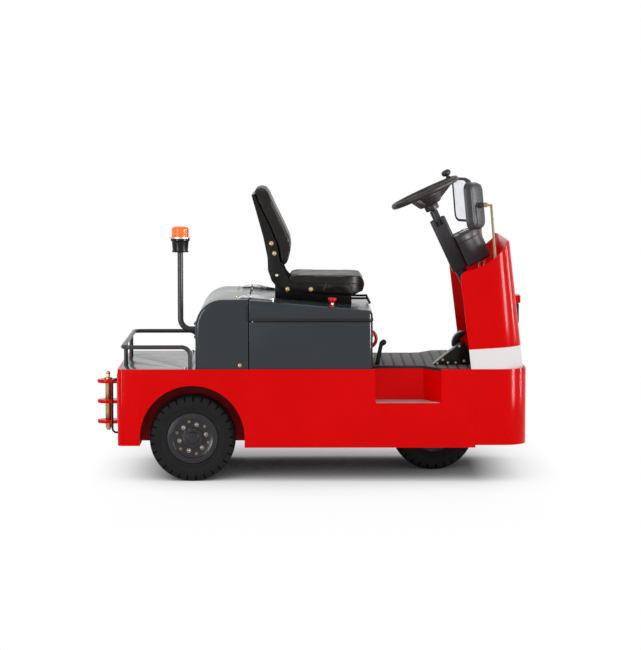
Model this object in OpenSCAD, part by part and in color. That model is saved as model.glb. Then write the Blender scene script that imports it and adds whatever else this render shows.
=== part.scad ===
// Sit-on electric tow tractor with three wheels: one steered wheel in front, two driven ones behind.
// Millimetres. +X is forward, +Y the vehicle's left, +Z up; the origin is on the ground at mid-length.

/* [Body] */
// length from the hitch's tip to the nose
overall_l = 2071; // [2040:1:2140]
// width over the side plates
body_w = 960; // [920:1:1020]
// height of the body's top edge
body_top = 538; // [526:1:556]
// height of the side plates' lower edge
skirt_z = 165; // [146:1:180]
// thickness of the body's plates
skin = 8; // [5:0.5:10]
// corner radius of the nose, seen from above
nose_r = 117; // [90:1:140]
// corner radius of the tail, seen from above
tail_r = 30; // [20:1:45]
// length of the nose plate
nose_l = 246; // [200:1:270]

/* [Wheels] */
// distance from the front axle to the nose
front_overhang = 428; // [400:1:450]
// distance from the tail to the rear axle
rear_overhang = 354; // [340:1:370]
// distance of the rear tyres' outer faces inside the side plates
tyre_inset = 35.5; // [25:0.5:45]
// tyre diameter
tyre_d = 410; // [395:1:420]
// tyre width
tyre_w = 105; // [95:1:115]
// diameter of the rim's bead seat
bead_d = 203; // [195:1:210]
// diameter of the rim's flange
flange_d = 240; // [230:1:250]
// gap between the rear tyre and the wheel arch
arch_gap = 43; // [30:1:50]
// height of the arch's middle over the axle
arch_rise = 7; // [0:1:12]

/* [Foot well] */
// length of the foot well and the nose, in front of the battery case
well_l = 733; // [690:1:780]
// length of the step at its back wall
step_l = 233; // [200:1:250]
// length of the step's slanted front wall
step_ramp = 82; // [60:1:100]
// depth of the step into the body
step_depth = 140; // [120:1:150]
// height of the step's tread
step_z = 378; // [356:1:406]
// thickness of the floor mat
mat_t = 12; // [8:1:12]

/* [Battery and drive covers] */
// length of the drive cover
cover_l = 250; // [240:1:260]
// top of the drive cover
cover_z = 868; // [852:1:882]
// radius of the drive cover's rear top edge
cover_r = 130; // [100:1:150]
// radius of the covers' side edges
edge_r = 18; // [15:1:30]
// thickness of the cover sheets
sheet = 4; // [3:0.5:5]
// top of the battery case
case_z = 762; // [746:1:771]
// gap between the case and the lid, and around the lid's rear edge
lid_gap = 5; // [4:0.5:8]
// drop of the lid's top towards the front
lid_drop = 50; // [30:1:55]

/* [Deck rail and beacon] */
// height of the rail over the deck
rail_h = 113; // [88:1:125]
// diameter of the rail's tube
rail_d = 20; // [16:1:24]
// height of the beacon's top
beacon_z = 1207; // [1160:1:1250]
// diameter of the beacon's pole
pole_d = 27; // [22:1:30]

/* [Cowl] */
// length of the cowl's base
cowl_l = 254; // [240:1:280]
// backward lean of the cowl, in degrees
cowl_lean = 6.5; // [4:0.5:8]
// height of the cowl's rear corners
cowl_rear_z = 1004; // [986:1:1016]
// rise of the cowl's front edge over its rear corners
cowl_rise = 136; // [115:1:150]

/* [Steering] */
// backward tilt of the steering column, in degrees
column_tilt = 25; // [20:1:28]
// distance of the steering wheel's middle behind the front axle
wheel_back = 39; // [20:1:50]
// height of the steering wheel's middle
wheel_z = 1357; // [1330:1:1390]
// steering wheel diameter
wheel_d = 356; // [340:1:380]
// thickness of the steering wheel's rim
grip_d = 29; // [22:1:32]
// depth of the steering wheel's hub under its rim
dish = 66; // [55:1:75]
// width of the steering wheel's spokes at the rim
spoke_w = 58; // [45:1:65]
// radius of the instrument pod's drum
pod_r = 130; // [115:1:140]
// height of the instrument pod
pod_h = 162; // [140:1:180]

/* [Mirrors] */
// width of the mirror shells
mirror_w = 140; // [120:1:150]
// height of the mirror shells
mirror_h = 223; // [200:1:235]
// thickness of the mirror shells
mirror_t = 40; // [32:1:45]

/* [Seat] */
// width of the seat
seat_w = 480; // [450:1:500]
// height of the cushion's bolsters
cushion_z = 968; // [958:1:980]
// height of the backrest's top
back_z = 1395; // [1375:1:1405]

/* [Hitch] */
// length of the hitch behind the tail
hitch_l = 129; // [115:1:140]
// thickness of the hitch plates
hitch_t = 16; // [12:1:18]
// height of the lowest hitch plate
hitch_z = 229; // [219:1:244]
// spacing of the hitch plates
hitch_pitch = 99; // [85:1:105]
// diameter of the tow pin
pin_d = 30; // [25:1:32]

/* [Hidden] */
$fn = 64;
eps = 0.01;
pin_play = 0.5;
seat_gap = 0.15;
half_w = body_w / 2;
in_w = half_w - skin;
case_w = half_w - 2;
nose_x = overall_l / 2;
nose_x0 = nose_x - nose_l;
tail_x = hitch_l - overall_l / 2;
tail_z = skirt_z + 9;
axle_z = tyre_d / 2;
rear_x = tail_x + rear_overhang;
front_x = nose_x - front_overhang;
arch_r = tyre_d / 2 + arch_gap;
arch_z = axle_z + arch_rise;
wheel_y = half_w - tyre_inset - tyre_w / 2;
bead_r = bead_d / 2;
rim_w = tyre_w - 10;
cover_x0 = rear_x + 16;
cover_x1 = cover_x0 + cover_l;
case_x0 = cover_x1 + lid_gap;
case_x1 = nose_x - well_l;
case_l = case_x1 - case_x0;
floor_z = body_top - 10;
floor_t = 8;
mat_x1 = nose_x - 167;
step_wall = 5;
step_x0 = case_x1 + 12;
step_x1 = step_x0 + step_l;
step_in = half_w - step_depth;
step_shift = step_wall * sqrt(pow(step_ramp, 2) + pow(step_depth, 2)) / step_depth;
frame_y = wheel_y - tyre_w / 2 - 40;
frame_z = axle_z + 57;
bulk_x = case_x0 - 11;
lid_z = case_z + lid_gap;
lid_z0 = cover_z - 3;
lid_slope = atan(lid_drop / case_l);
lid_r = 23;
lid_x1 = case_x1 - lid_r;
hinge_x = case_x0 - lid_gap / 2;
hinge_z = cover_z + 9;
hinge_y = half_w - 110;
rail_r = rail_d / 2;
rail_z = body_top + rail_h - rail_r;
rail_y = in_w - rail_r - 8;
rail_leg_y = rail_y - 254;
rail_x0 = tail_x + skin + rail_r + 7;
rail_x1 = cover_x0 - rail_r - 15;
pole_x = cover_x0 - 75;
pole_y = -(half_w - 150);
pole_r = pole_d / 2;
pole_z = cover_z - 151;
pole_bend = 50;
beacon_h = 122;
lens_h = 57;
beacon_r = 41.5;
cowl_x = nose_x - 13;
cowl_front_z = cowl_rear_z + cowl_rise;
cowl_x0 = cowl_x - cowl_l;
cowl_x1 = cowl_x0 - 52;
cowl_dip = cowl_rise / 0.38;
mirror_x = cowl_x - 235;
mirror_y = half_w - 50;
mirror_z = cowl_front_z + 169;
mirror_turn = [0, -6, 31];
mirror_reach = mirror_t / 2 + 34;
mirror_ball = [
    mirror_x + mirror_reach * cos(mirror_turn[1]) * cos(mirror_turn[2]),
    mirror_y + mirror_reach * cos(mirror_turn[1]) * sin(mirror_turn[2]),
    mirror_z - mirror_reach * sin(mirror_turn[1])
];
arm_y = case_w - sheet - 17;
wheel_x = front_x - wheel_back;
grip_r = wheel_d / 2 - grip_d / 2;
shaft_r = 12;
column_top = dish + 75;
column_end = column_top + 271;
column_w = 77;
lamp_w = 120;
lamp_z0 = body_top + 198;
lamp_z1 = body_top + 295;
lamp_y = 150;
seat_x = case_x0;
seat_y = seat_w / 2;
shell_seam = [[24, -48], [52, -109], [96, -197], [120, -261], [133, -297], [145, -374]];
crown_z = tyre_d + 15;
pin_x = tail_x - hitch_l + 53;
pin_r = pin_d / 2;
hitch_top = hitch_z + 2 * hitch_pitch + hitch_t;

// points of an arc, from angle a0 to a1
function arc(x, y, r, a0, a1, n = 8) = [
    for (a = [for (i = [0:n]) a0 + (a1 - a0) * i / n])
        [x + r * cos(a), y + r * sin(a)]
];
// points of a rectangle with round corners, about its middle
function round_rect(w, h, r) = concat(
    arc(w / 2 - r, h / 2 - r, r, 0, 90),
    arc(r - w / 2, h / 2 - r, r, 90, 180),
    arc(r - w / 2, r - h / 2, r, 180, 270),
    arc(w / 2 - r, r - h / 2, r, 270, 360)
);
// height of the lid's flat top
function lid_top(x) = lid_z0 - lid_drop * (x - case_x0) / case_l;
// line of the step's slanted wall at distance y from the middle
function step_line(y) = step_x1 + (y - step_in) * step_ramp / step_depth;

// extrudes a side view across the vehicle, from y0 to y1
module across(y0, y1) {
    translate([0, y1, 0])
        rotate([90, 0, 0])
            linear_extrude(y1 - y0)
                children();
}

// a shape on both sides of the vehicle
module both() {
    children();
    mirror([0, 1, 0])
        children();
}

// a round bar between two points
module bar(p, q, r) {
    d = q - p;
    l = norm(d);
    translate(p)
        rotate([0, acos(d[2] / l), atan2(d[1], d[0])])
            cylinder(r = r, h = l);
}

// a bar lying across the vehicle
module cross_bar(x, y, z, r, l) {
    translate([x, y, z])
        rotate([-90, 0, 0])
            cylinder(r = r, h = l);
}

// places a shape at the steering wheel: local z runs down the column, local x forward
module at_column() {
    translate([wheel_x, 0, wheel_z])
        rotate([0, 180 - column_tilt, 0])
            mirror([1, 0, 0])
                children();
}

// places a shape at the foot of the cowl's front: local z runs up its lean
module at_cowl() {
    translate([cowl_x, 0, body_top])
        rotate([0, -cowl_lean, 0])
            children();
}

// plan of the step recess on the left, grown by its wall
module step_plan(g, s, out) {
    polygon([
        [step_x0 - g, out],
        [step_x0 - g, step_in - g],
        [step_line(step_in - g) + s, step_in - g],
        [step_line(out) + s, out]
    ]);
}

// plan of the nose, from x to the front, taken in by g
module nose_plan(x, g) {
    polygon(concat(
        [[x, half_w - g]],
        arc(nose_x - nose_r, half_w - nose_r, nose_r - g, 90, 0, 12),
        arc(nose_x - nose_r, nose_r - half_w, nose_r - g, 0, -90, 12),
        [[x, g - half_w]]
    ));
}

// left side plate with its wheel arch and its step
module side_plate() {
    difference() {
        union() {
            across(in_w, half_w)
                polygon([
                    [tail_x + tail_r, tail_z],
                    [rear_x, tail_z],
                    [rear_x, skirt_z],
                    [nose_x0, skirt_z],
                    [nose_x0, body_top],
                    [tail_x + tail_r, body_top]
                ]);
            translate([case_x0, in_w - 40, body_top - skin])
                cube([case_l, 40 + eps, skin]);
            translate([0, 0, step_z - 6])
                linear_extrude(floor_z - step_z + 6)
                    step_plan(step_wall, step_shift, in_w + eps);
        }
        translate([0, 0, step_z])
            linear_extrude(body_top - step_z + 1)
                step_plan(0, 0, half_w + 1);
        cross_bar(rear_x, in_w - 1, arch_z, arch_r, skin + 2);
        translate([rear_x - arch_r, in_w - 1, 0])
            cube([2 * arch_r, skin + 2, arch_z]);
    }
}

module side_plate_right() {
    color("red")
        mirror([0, 1, 0])
            side_plate();
}

module side_plate_left() {
    color("red")
        side_plate();
}

module nose_plate() {
    color("red")
        translate([0, 0, skirt_z + 12])
            difference() {
                linear_extrude(body_top - skirt_z - 12)
                    nose_plan(nose_x0, 0);
                translate([0, 0, -1])
                    linear_extrude(body_top)
                        nose_plan(nose_x0 - 1, skin);
            }
}

// plan of the tail, taken in by g
module tail_plan(x, g) {
    polygon(concat(
        [[x, g - half_w]],
        arc(tail_x + tail_r, tail_r - half_w, tail_r - g, 270, 180),
        arc(tail_x + tail_r, half_w - tail_r, tail_r - g, 180, 90),
        [[x, half_w - g]]
    ));
}

module tail_plate() {
    color("red")
        translate([0, 0, tail_z])
            difference() {
                linear_extrude(body_top - tail_z)
                    tail_plan(tail_x + tail_r, 0);
                translate([0, 0, -1])
                    linear_extrude(body_top)
                        tail_plan(tail_x + tail_r + 1, skin);
            }
}

module wheel_arches() {
    color("darkred")
        both()
            difference() {
                union() {
                    cross_bar(rear_x, frame_y + 8, arch_z, arch_r + 5, in_w - frame_y - 8);
                    translate([rear_x - arch_r - 5, frame_y + 8, tail_z])
                        cube([2 * arch_r + 10, in_w - frame_y - 8, arch_z - tail_z]);
                }
                cross_bar(rear_x, frame_y, arch_z, arch_r, in_w);
                translate([rear_x - arch_r, frame_y, -1])
                    cube([2 * arch_r, in_w, arch_z + 1]);
                translate([rear_x - 2 * arch_r, frame_y, -arch_r])
                    cube([4 * arch_r, in_w, arch_r + tail_z]);
            }
}

module frame_rails() {
    color("darkred")
        both()
            translate([tail_x + skin, frame_y, frame_z])
                cube([bulk_x - tail_x - skin, 8, body_top - skin - frame_z]);
}

module bulkhead() {
    color("darkred") {
        translate([bulk_x, -in_w, skirt_z + 2])
            cube([6, 2 * in_w, body_top - skirt_z - 2]);
        translate([bulk_x, 12 - case_w, body_top - eps])
            cube([6, 2 * case_w - 24, cover_z - body_top - 30]);
    }
}

module under_plate() {
    color("darkred")
        translate([0, 0, skirt_z + 2])
            linear_extrude(8)
                difference() {
                    translate([bulk_x + 6, -in_w])
                        square([nose_x0 - bulk_x - 6, 2 * in_w]);
                    translate([front_x, 0])
                        circle(r = tyre_d / 2 + 35);
                }
}

module floor_plate() {
    color("dimgray")
        translate([0, 0, floor_z - floor_t])
            linear_extrude(floor_t)
                difference() {
                    nose_plan(case_x1 - 28, skin);
                    both()
                        step_plan(step_wall, step_shift, half_w);
                }
}

module floor_mat() {
    color("gray")
        translate([0, 0, floor_z])
            linear_extrude(mat_t)
                difference() {
                    translate([case_x1, -in_w])
                        square([mat_x1 - case_x1, 2 * in_w]);
                    both()
                        step_plan(0, 0, half_w);
                    both()
                        translate([case_x1 - 1, step_in])
                            square([step_x0 - case_x1 + 1, half_w]);
                }
}

module steer_head() {
    color("darkred")
        difference() {
            union() {
                translate([front_x - 110, -150, floor_z - floor_t - 10])
                    cube([220, 300, 10]);
                for (x = [-110, 100])
                    translate([front_x + x, -in_w + step_depth + 8, crown_z + 45])
                        cube([10, 2 * (in_w - step_depth - 8), floor_z - floor_t - crown_z - 45]);
                translate([front_x, 0, crown_z + 33])
                    cylinder(r = 58, h = floor_z - floor_t - crown_z - 33);
            }
            translate([front_x, 0, 0])
                cylinder(r = 32 + pin_play, h = floor_z - floor_t - 5);
        }
}

// side view of the cowl, with its hollowed top edge
module cowl_side() {
    polygon(concat(
        [[cowl_x0, body_top]],
        arc(cowl_x1 + 38, cowl_rear_z - 38, 38, 180, 105),
        arc(cowl_x1 + 38 - cowl_dip * sin(15), cowl_rear_z + cowl_dip * cos(15), cowl_dip, 285, 320, 12),
        [[cowl_x1 + 38 + cowl_dip * 0.5, cowl_front_z]],
        [[cowl_x + 50, cowl_front_z], [cowl_x + 50, body_top]]
    ));
}

// plan of the cowl's shell, taken in by g
module cowl_plan(g) {
    polygon(concat(
        [[-2 * cowl_l, case_w - g]],
        arc(-nose_r, case_w - nose_r, nose_r - g, 90, 0, 12),
        arc(-nose_r, nose_r - case_w, nose_r - g, 0, -90, 12),
        [[-2 * cowl_l, g - case_w]]
    ));
}

module front_cowl() {
    color("red")
        intersection() {
            at_cowl()
                translate([0, 0, -40])
                    linear_extrude(cowl_front_z)
                        difference() {
                            cowl_plan(0);
                            translate([-1, 0])
                                cowl_plan(sheet);
                        }
            across(-half_w, half_w)
                cowl_side();
        }
}

module rear_deck() {
    color("dimgray")
        translate([0, 0, body_top - skin])
            linear_extrude(skin)
                difference() {
                    tail_plan(cover_x0 - seat_gap, skin);
                    for (y = [-1, 1]) {
                        translate([rail_x0, y * rail_leg_y])
                            circle(r = rail_r + pin_play);
                        translate([rail_x1, y * rail_y])
                            circle(r = rail_r + pin_play);
                    }
                }
}

// a quarter bend of tube in the local x-y plane, from +x towards +y
module bend(r, tube) {
    rotate_extrude(angle = 90)
        translate([r, 0])
            circle(r = tube);
}

module deck_rail() {
    r = 40;
    foot = body_top - skin;
    color("dimgray")
        both() {
            cross_bar(rail_x0, 0, rail_z, rail_r, rail_y - r);
            translate([rail_x0 + r, rail_y - r, rail_z])
                rotate([0, 0, 90])
                    bend(r, rail_r);
            translate([rail_x0 + r, rail_y, rail_z])
                rotate([0, 90, 0])
                    cylinder(r = rail_r, h = rail_x1 - rail_x0 - 2 * r);
            translate([rail_x1 - r, rail_y, rail_z - r])
                rotate([90, 0, 0])
                    bend(r, rail_r);
            translate([rail_x1, rail_y, foot - 6])
                cylinder(r = rail_r, h = rail_z - r - foot + 6);
            translate([rail_x1, rail_y, foot - 6])
                cylinder(r = rail_r + 6, h = 6);
            translate([rail_x0, rail_leg_y, foot - 6])
                cylinder(r = rail_r, h = rail_z - foot + 6);
            translate([rail_x0, rail_leg_y, foot - 6])
                cylinder(r = rail_r + 6, h = 6);
        }
}

// the drive cover's outside, taken in by g
module cover_shape(g) {
    hull()
        both() {
            translate([cover_x0 + cover_r, case_w - edge_r, cover_z - cover_r])
                rotate([90, 0, 0])
                    rotate_extrude($fn = 48)
                        translate([cover_r - edge_r, 0])
                            circle(r = edge_r - g, $fn = 24);
            translate([cover_x1 - 1, case_w - edge_r, cover_z - edge_r])
                rotate([0, 90, 0])
                    cylinder(r = edge_r - g, h = 1 + g, $fn = 24);
            translate([cover_x0 + edge_r, case_w - edge_r, body_top - g])
                cylinder(r = edge_r - g, h = 1, $fn = 24);
            translate([cover_x1 - 1, case_w - g - 1, body_top - g])
                cube([1 + g, 1, 1]);
        }
}

module drive_cover() {
    color("darkslategray")
        difference() {
            intersection() {
                cover_shape(0);
                translate([cover_x0 - 1, -half_w, 0])
                    cube([cover_l + 1, body_w, 2 * cover_z]);
            }
            cover_shape(sheet);
        }
}

module battery_case() {
    r = 20;
    color("darkslategray")
        difference() {
            union() {
                translate([0, 0, body_top])
                    linear_extrude(case_z - body_top)
                        polygon(concat(
                            [[case_x0, case_w]],
                            arc(case_x1 - r, case_w - r, r, 90, 0),
                            arc(case_x1 - r, r - case_w, r, 0, -90),
                            [[case_x0, -case_w]]
                        ));
                translate([case_x1 - sheet, 8 - step_in, floor_z])
                    cube([sheet, 2 * step_in - 16, body_top - floor_z + 1]);
            }
            translate([0, 0, body_top - 1])
                linear_extrude(case_z)
                    polygon(concat(
                        [[case_x0 - 1, case_w - sheet]],
                        arc(case_x1 - r, case_w - r, r - sheet, 90, 0),
                        arc(case_x1 - r, r - case_w, r - sheet, 0, -90),
                        [[case_x0 - 1, sheet - case_w]]
                    ));
        }
}

module battery() {
    color("black")
        translate([case_x0 + 25, -in_w + 45, skirt_z + 10])
            cube([case_l - 65, 2 * in_w - 90, case_z - skirt_z - 127]);
}

module rear_axle() {
    color("dimgray") {
        cross_bar(rear_x, -95, axle_z, 100, 190);
        translate([rear_x + 60, -70, axle_z - 30])
            cube([45, 140, 120]);
        both() {
            cross_bar(rear_x, 90, axle_z, 42, frame_y + 14 - 90);
            translate([rear_x - 40, frame_y - 10, axle_z])
                cube([80, 28, frame_z - axle_z]);
            cross_bar(rear_x, frame_y + 14, axle_z, 58, 4);
            cross_bar(rear_x, frame_y + 18, axle_z, 20, wheel_y - frame_y - 10);
        }
    }
}

module drive_motor() {
    color("black")
        translate([rear_x + 105, 0, axle_z + 30])
            rotate([0, 90, 0])
                cylinder(r = 80, h = bulk_x - rear_x - 105);
}

module hitch() {
    color("red")
        difference() {
            union() {
                translate([tail_x - 8, -90, hitch_z - 20])
                    cube([8, 180, hitch_top - hitch_z + 40]);
                for (i = [0:2])
                    translate([0, 0, hitch_z + i * hitch_pitch]) {
                        translate([pin_x, -53, 0])
                            cube([tail_x - pin_x - 4, 106, hitch_t]);
                        translate([pin_x, 0, 0])
                            cylinder(r = 53, h = hitch_t);
                    }
                translate([tail_x - 30, -40, hitch_z])
                    cube([8, 80, hitch_top - hitch_z]);
            }
            translate([pin_x, 0, 0])
                cylinder(r = pin_r + pin_play, h = hitch_top + 1);
        }
}

module tail_guards() {
    r = 20;
    reach = 43;
    z0 = hitch_z - 26;
    z1 = hitch_top + 19;
    color("black")
        both()
            translate([tail_x, 190, 0]) {
                for (z = [z0, z1])
                    translate([r - reach, 0, z])
                        rotate([0, 90, 0])
                            cylinder(r = 5, h = reach - r);
                translate([-reach, 0, z0 + r])
                    cylinder(r = 5, h = z1 - z0 - 2 * r);
                translate([r - reach, 0, z1 - r])
                    rotate([90, 0, 0])
                        rotate([0, 0, 90])
                            bend(r, 5);
                translate([r - reach, 0, z0 + r])
                    rotate([90, 0, 0])
                        rotate([0, 0, 180])
                            bend(r, 5);
            }
}

module headlamps() {
    face = nose_x - 26;
    depth = 60;
    color("black")
        both()
            difference() {
                translate([face - depth, lamp_y + lamp_w / 2, (lamp_z0 + lamp_z1) / 2])
                    rotate([90, 0, 90]) {
                        difference() {
                            linear_extrude(depth)
                                polygon(round_rect(lamp_w, lamp_z1 - lamp_z0, 22));
                            translate([0, 0, depth - 6])
                                cylinder(r = 40, h = 7);
                        }
                    }
                at_cowl()
                    translate([-4 * depth, 0, 0])
                        cube([4 * depth, half_w, cowl_front_z]);
            }
}

module lamp_visors() {
    rim = 4;
    drop = 36;
    foot = lamp_z1 - body_top + 3;
    color("red")
        both()
            difference() {
                at_cowl()
                    translate([0, lamp_y - 5, foot])
                        cube([100, lamp_w + 10, drop]);
                at_cowl()
                    translate([-1, lamp_y - 5 + rim, foot - 1])
                        cube([102, lamp_w + 10 - 2 * rim, drop + 1 - rim]);
                translate([nose_x - 20, 0, 0])
                    cube([200, body_w, 2 * body_top]);
            }
}

module mirror_arms() {
    rod = 6;
    foot = [cowl_x - 161, arm_y, cowl_rear_z - 70];
    elbow = [cowl_x - 142, arm_y, cowl_rear_z + 63];
    neck = [mirror_x + 72, mirror_y + 30, mirror_z + 3];
    color("goldenrod")
        both() {
            translate([cowl_x - 192, arm_y - 8, cowl_rear_z - 95]) {
                cube([39, 14, 40]);
                cube([22, case_w - sheet - arm_y + 8 - seat_gap, 40]);
            }
            bar(foot, elbow, rod);
            translate(elbow)
                sphere(r = rod + 1);
            bar(elbow, neck, rod);
            translate(neck)
                sphere(r = rod + 1);
            bar(neck, mirror_ball, rod - 1);
            translate(mirror_ball)
                sphere(r = 12);
        }
}

// a moulded mirror shell about its middle, its glass towards -x
module mirror_shell() {
    rim = 6;
    difference() {
        rotate([90, 0, 90])
            hull() {
                translate([0, 0, -mirror_t / 2])
                    linear_extrude(mirror_t * 0.35)
                        polygon(round_rect(mirror_w, mirror_h, 38));
                translate([0, 0, mirror_t / 2 - 8])
                    linear_extrude(1)
                        polygon(round_rect(mirror_w - 18, mirror_h - 18, 34));
                translate([0, 0, mirror_t / 2 - 1])
                    linear_extrude(1)
                        polygon(round_rect(mirror_w - 44, mirror_h - 44, 26));
            }
        translate([-mirror_t / 2 - 1, 0, 0])
            rotate([90, 0, 90])
                linear_extrude(4)
                    polygon(round_rect(mirror_w - 2 * rim, mirror_h - 2 * rim, 32));
    }
    translate([mirror_t / 2 - 1, 0, 0])
        rotate([0, 90, 0])
            cylinder(r = 13, h = mirror_reach - mirror_t / 2 - 11);
}

module mirrors() {
    color("black")
        both()
            translate([mirror_x, mirror_y, mirror_z])
                rotate(mirror_turn)
                    mirror_shell();
}

module steering_column() {
    pocket = 45;
    wall = 6;
    color("dimgray") {
        at_column()
            difference() {
                union() {
                    difference() {
                        translate([0, 0, column_top])
                            linear_extrude(column_end - column_top)
                                polygon(round_rect(column_w, column_w + 3, 14));
                        translate([0, 0, column_top - 1])
                            linear_extrude(pocket + 1)
                                polygon(round_rect(column_w - 2 * wall, column_w + 3 - 2 * wall, 9));
                        translate([-16, -column_w, column_top - 1])
                            cube([32, 2 * column_w, pocket - 9]);
                    }
                    translate([0, 0, dish + 32])
                        cylinder(r = 20, h = column_top + pocket + 4 - dish - 32);
                }
                translate([0, 0, dish + 31])
                    cylinder(r = shaft_r + 0.3, h = column_top + pocket - dish - 31);
            }
        intersection() {
            at_column()
                translate([0, 0, column_end - 1])
                    cylinder(r = 28, h = 700);
            translate([wheel_x, -50, floor_z])
                cube([600, 100, wheel_z - floor_z]);
        }
        translate([wheel_x + (wheel_z - floor_z) * tan(column_tilt) - 60, -60, floor_z])
            cube([120, 120, 10]);
    }
}

module dash_pod() {
    r = pod_r;
    band = 40;
    color("dimgray")
        at_column()
            translate([column_w / 2, 0, column_end - pod_h])
                rotate([0, 0, -90])
                    rotate_extrude(angle = 180)
                        polygon(concat(
                            [[0, 4], [r - 18, 4], [r - 16, 0]],
                            arc(r - 12, 12, 12, 270, 360),
                            [[r, band - 2], [r - 3, band], [r - 3, pod_h - 12]],
                            arc(r - 15, pod_h - 12, 12, 0, 90),
                            [[0, pod_h]]
                        ));
}

module pedals() {
    z = floor_z + mat_t;
    x = step_x1 + 47;
    y = -(half_w - 180);
    pad = 61;
    color("black") {
        for (i = [0, 84])
            translate([0, y + i, 0])
                across(0, 6)
                    polygon([
                        [x, z],
                        [x + 190, z],
                        [x + 190, z + 60],
                        [x + 152, z + 110],
                        [x + 130, z + 105]
                    ]);
        translate([0, y, 0])
            across(0, 90)
                polygon([[x, z], [x + 12, z], [x + 142, z + 105], [x + 130, z + 105]]);
        translate([0, y + 130, 0])
            across(0, 70)
                polygon(concat(
                    arc(x + 160, z + 91, pad, 88, 192, 12),
                    [[x + 128, z + 84], [x + 140, z + 116], [x + 164, z + 136]]
                ));
        translate([0, y + 158, 0])
            across(0, 14)
                polygon([
                    [x + 116, z + 124],
                    [x + 104, z + 112],
                    [x + 150, z + 70],
                    [x + 172, z],
                    [x + 200, z],
                    [x + 174, z + 80]
                ]);
    }
}

module parking_lever() {
    z = floor_z + mat_t;
    x = case_x1 + 14;
    color("black")
        translate([0, 40 - step_in, 0])
            across(0, 12)
                polygon(concat(
                    [[x, z], [x + 22, z], [x + 38, z + 92]],
                    arc(x + 42, z + 110, 14, 300, 460),
                    [[x + 24, z + 112]]
                ));
}

module battery_plug() {
    loop_r = 42;
    bar_r = 8;
    sunk = 20;
    color("red")
        translate([case_x1, -250, (case_z + floor_z) / 2 + 18])
            rotate([90, 0, 0])
                difference() {
                    translate([-sunk, 0, 0])
                        rotate([0, 0, -90])
                            rotate_extrude(angle = 180)
                                translate([loop_r, 0])
                                    circle(r = bar_r);
                    translate([-100, -100, -20])
                        cube([100, 200, 40]);
                }
}

module beacon_pole() {
    color("black")
        translate([0, pole_y, 0]) {
            translate([pole_x, 0, pole_z + pole_bend])
                cylinder(r = pole_r, h = beacon_z - beacon_h - pole_z - pole_bend);
            translate([pole_x + pole_bend, 0, pole_z + pole_bend])
                rotate([90, 0, 0])
                    rotate([0, 0, 180])
                        bend(pole_bend, pole_r);
            translate([pole_x + pole_bend, 0, pole_z])
                rotate([0, 90, 0])
                    cylinder(r = pole_r, h = cover_x0 - pole_x - pole_bend - 4);
            translate([cover_x0 - 5, -30, pole_z - 50])
                cube([5, 60, 88]);
        }
}

module beacon_base() {
    h = beacon_h - lens_h;
    r = beacon_r + 1;
    color("black")
        translate([pole_x, pole_y, beacon_z - beacon_h])
            rotate_extrude()
                polygon([
                    [0, 0],
                    [r - 4, 0],
                    [r - 2, 3],
                    [r - 4, 7],
                    [r - 6, 8],
                    [r - 2, h - 14],
                    [r + 3, h - 11],
                    [r + 3, h],
                    [0, h]
                ]);
}

module beacon_lens() {
    r = beacon_r;
    ring = 9;
    color("orange")
        translate([pole_x, pole_y, beacon_z - lens_h])
            rotate_extrude()
                polygon(concat(
                    [[0, 0], [r, 0]],
                    [for (i = [0:3], p = [[r, 5], [r - 1.5, 7], [r - 1.5, 10], [r, 12]]) p + [0, ring * i]],
                    [[r, 44], [r - 5, 53], [r - 13, lens_h], [0, lens_h]]
                ));
}

module hinge_bases() {
    color("silver")
        both()
            translate([0, hinge_y - 25, 0]) {
                translate([hinge_x, 0, cover_z])
                    across(0, 50)
                        polygon([[-48, 0], [-9, 0], [-9, 8], [-22, 12], [-36, 10], [-48, 4]]);
                for (y = [0, 35])
                    translate([hinge_x - 10, y, cover_z])
                        cube([10, 15, hinge_z - cover_z]);
                cross_bar(hinge_x, 0, hinge_z, 8, 15);
                cross_bar(hinge_x, 35, hinge_z, 8, 15);
                cross_bar(hinge_x, 0, hinge_z, 4, 50);
            }
}

// the lid's outside, taken in by g
module lid_shape(g) {
    hull()
        both() {
            translate([case_x0 + g, case_w - edge_r, lid_z0 - edge_r])
                rotate([0, 90, 0])
                    cylinder(r = edge_r - g, h = 1, $fn = 24);
            translate([lid_x1, case_w - lid_r, lid_top(lid_x1) - lid_r / cos(lid_slope)])
                sphere(r = lid_r - g, $fn = 32);
            translate([case_x1 - 20, case_w - 20, lid_z - g])
                cylinder(r = 20 - g, h = 1, $fn = 32);
            translate([case_x0 + g, case_w - 1 - g, lid_z - g])
                cube(1);
        }
}

module battery_lid() {
    color("darkslategray")
        difference() {
            lid_shape(0);
            lid_shape(sheet);
        }
}

module hinge_leaves() {
    leaf_l = 122;
    leaf_h = 20;
    color("silver")
        both()
            translate([0, hinge_y, 0])
                difference() {
                    union() {
                        translate([case_x0, 0, lid_z0 + seat_gap])
                            rotate([0, lid_slope, 0])
                                intersection() {
                                    across(-25, 25)
                                        polygon(concat(
                                            [[0, 0], [leaf_l, 0]],
                                            arc(leaf_l - 6, 4, 6, 0, 70),
                                            [[leaf_l * 0.6, 13], [leaf_l * 0.25, leaf_h], [0, leaf_h - 4]]
                                        ));
                                    linear_extrude(leaf_h)
                                        polygon(concat(
                                            [[0, -25], [leaf_l * 0.4, -25]],
                                            arc(leaf_l - 18, 0, 18, -70, 70),
                                            [[leaf_l * 0.4, 25], [0, 25]]
                                        ));
                                }
                        translate([hinge_x, -9, hinge_z - 8])
                            cube([20, 18, 8]);
                        cross_bar(hinge_x, -9, hinge_z, 8, 18);
                    }
                    cross_bar(hinge_x, -30, hinge_z, 4.3, 60);
                    for (y = [-26, 9.5])
                        translate([hinge_x - 10, y, hinge_z - 20])
                            cube([19, 16.5, 40]);
                }
}

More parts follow.
